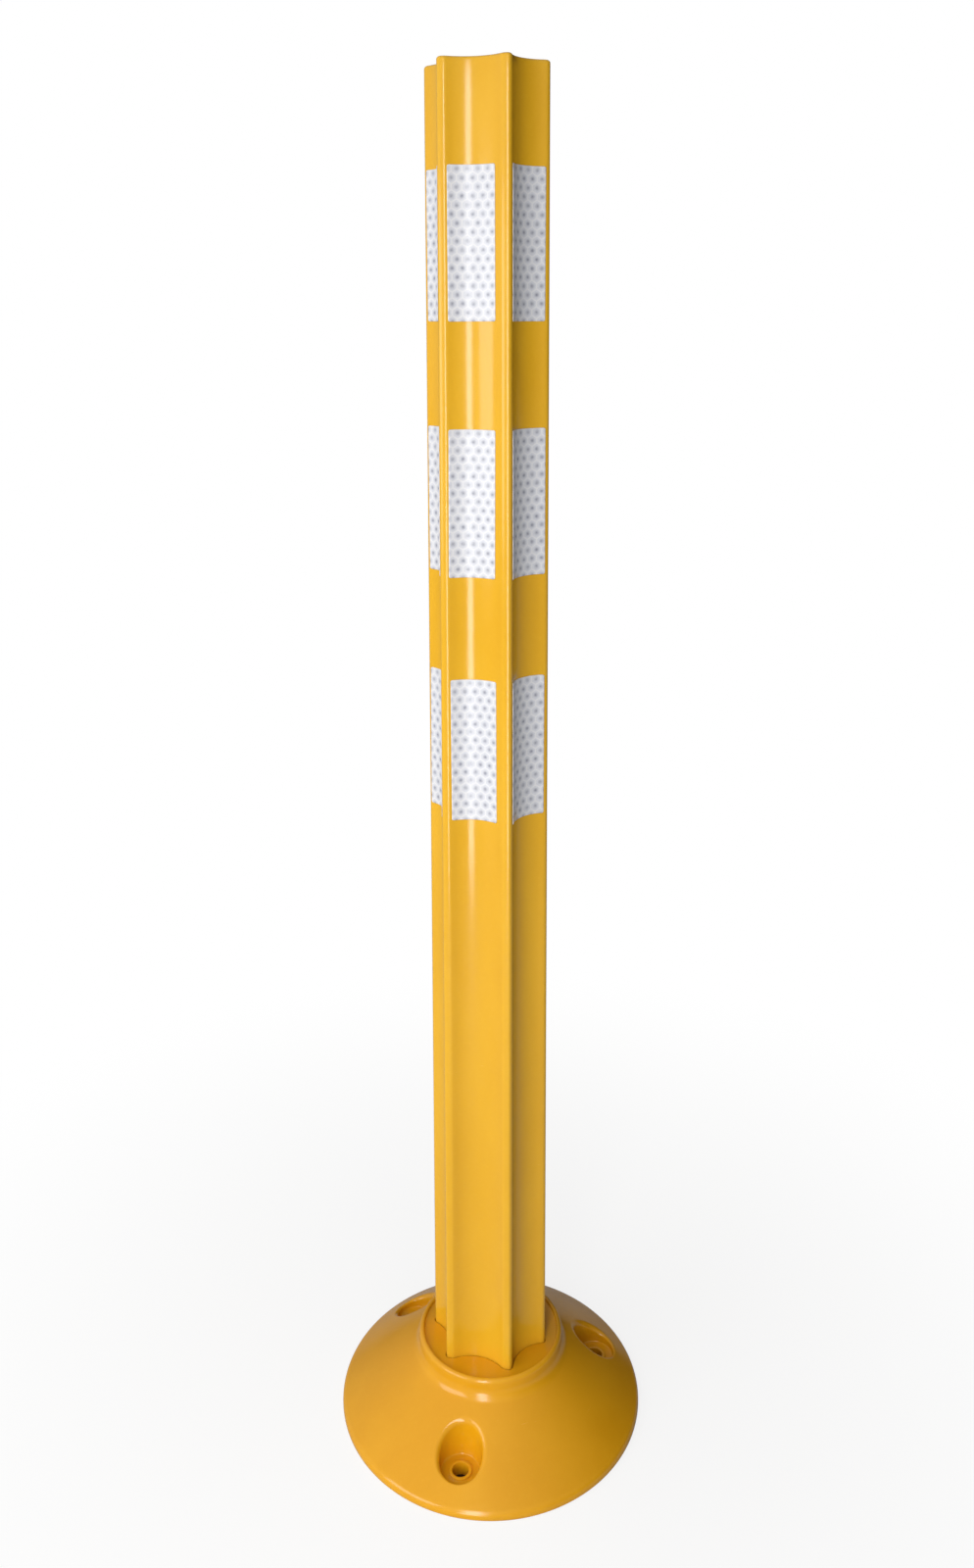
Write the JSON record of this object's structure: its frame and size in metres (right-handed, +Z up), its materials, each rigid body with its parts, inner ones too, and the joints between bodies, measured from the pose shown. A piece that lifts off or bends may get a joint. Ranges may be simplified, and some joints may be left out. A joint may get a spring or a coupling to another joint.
{
  "type": "delineator post",
  "caption": "Flexible fluted delineator post with reflective bands, standing in a round domed base that bolts to the road.",
  "frame": {"origin": "centre of the base's underside, on the ground", "axes": "+Z up along the post's axis; -Y through the middle of the front wide face and over the front anchor hole; +X to the right seen from the front"},
  "size_m": [0.2, 0.2, 0.87],
  "materials": {
    "post_plastic": "glossy warm yellow moulded plastic with a satin lower half",
    "base_plastic": "glossy orange-yellow moulded plastic",
    "reflective_sheeting": "white micro-prismatic sheeting with staggered cells under a clear gloss film",
    "plate_plastic": "matt black moulded plastic",
    "zinc_steel": "zinc-plated steel"
  },
  "bodies": {
    "base": {"base_shell": "base_plastic", "retaining_plate": "plate_plastic", "plate_screws": "zinc_steel", "post_foot": "post_plastic", "post_flex_section": "post_plastic"},
    "post": {"post_upper_section": "post_plastic", "top_cap": "post_plastic", "front_strip_upper": "reflective_sheeting", "front_strip_middle": "reflective_sheeting", "front_strip_lower": "reflective_sheeting", "front_right_strip_upper": "reflective_sheeting", "front_right_strip_middle": "reflective_sheeting", "front_right_strip_lower": "reflective_sheeting", "rear_right_strip_upper": "reflective_sheeting", "rear_right_strip_middle": "reflective_sheeting", "rear_right_strip_lower": "reflective_sheeting", "rear_strip_upper": "reflective_sheeting", "rear_strip_middle": "reflective_sheeting", "rear_strip_lower": "reflective_sheeting", "rear_left_strip_upper": "reflective_sheeting", "rear_left_strip_middle": "reflective_sheeting", "rear_left_strip_lower": "reflective_sheeting", "front_left_strip_upper": "reflective_sheeting", "front_left_strip_middle": "reflective_sheeting", "front_left_strip_lower": "reflective_sheeting"}
  },
  "joints": [
    {"name": "post_bend", "type": "hinge", "parent": "base", "child": "post", "pos_m": [0, 0, 0.116], "axis": [1, 0, 0], "range_deg": [-90, 90], "stiffness_Nm_per_rad": 45, "deforming": ["post_flex_section"]}
  ]
}
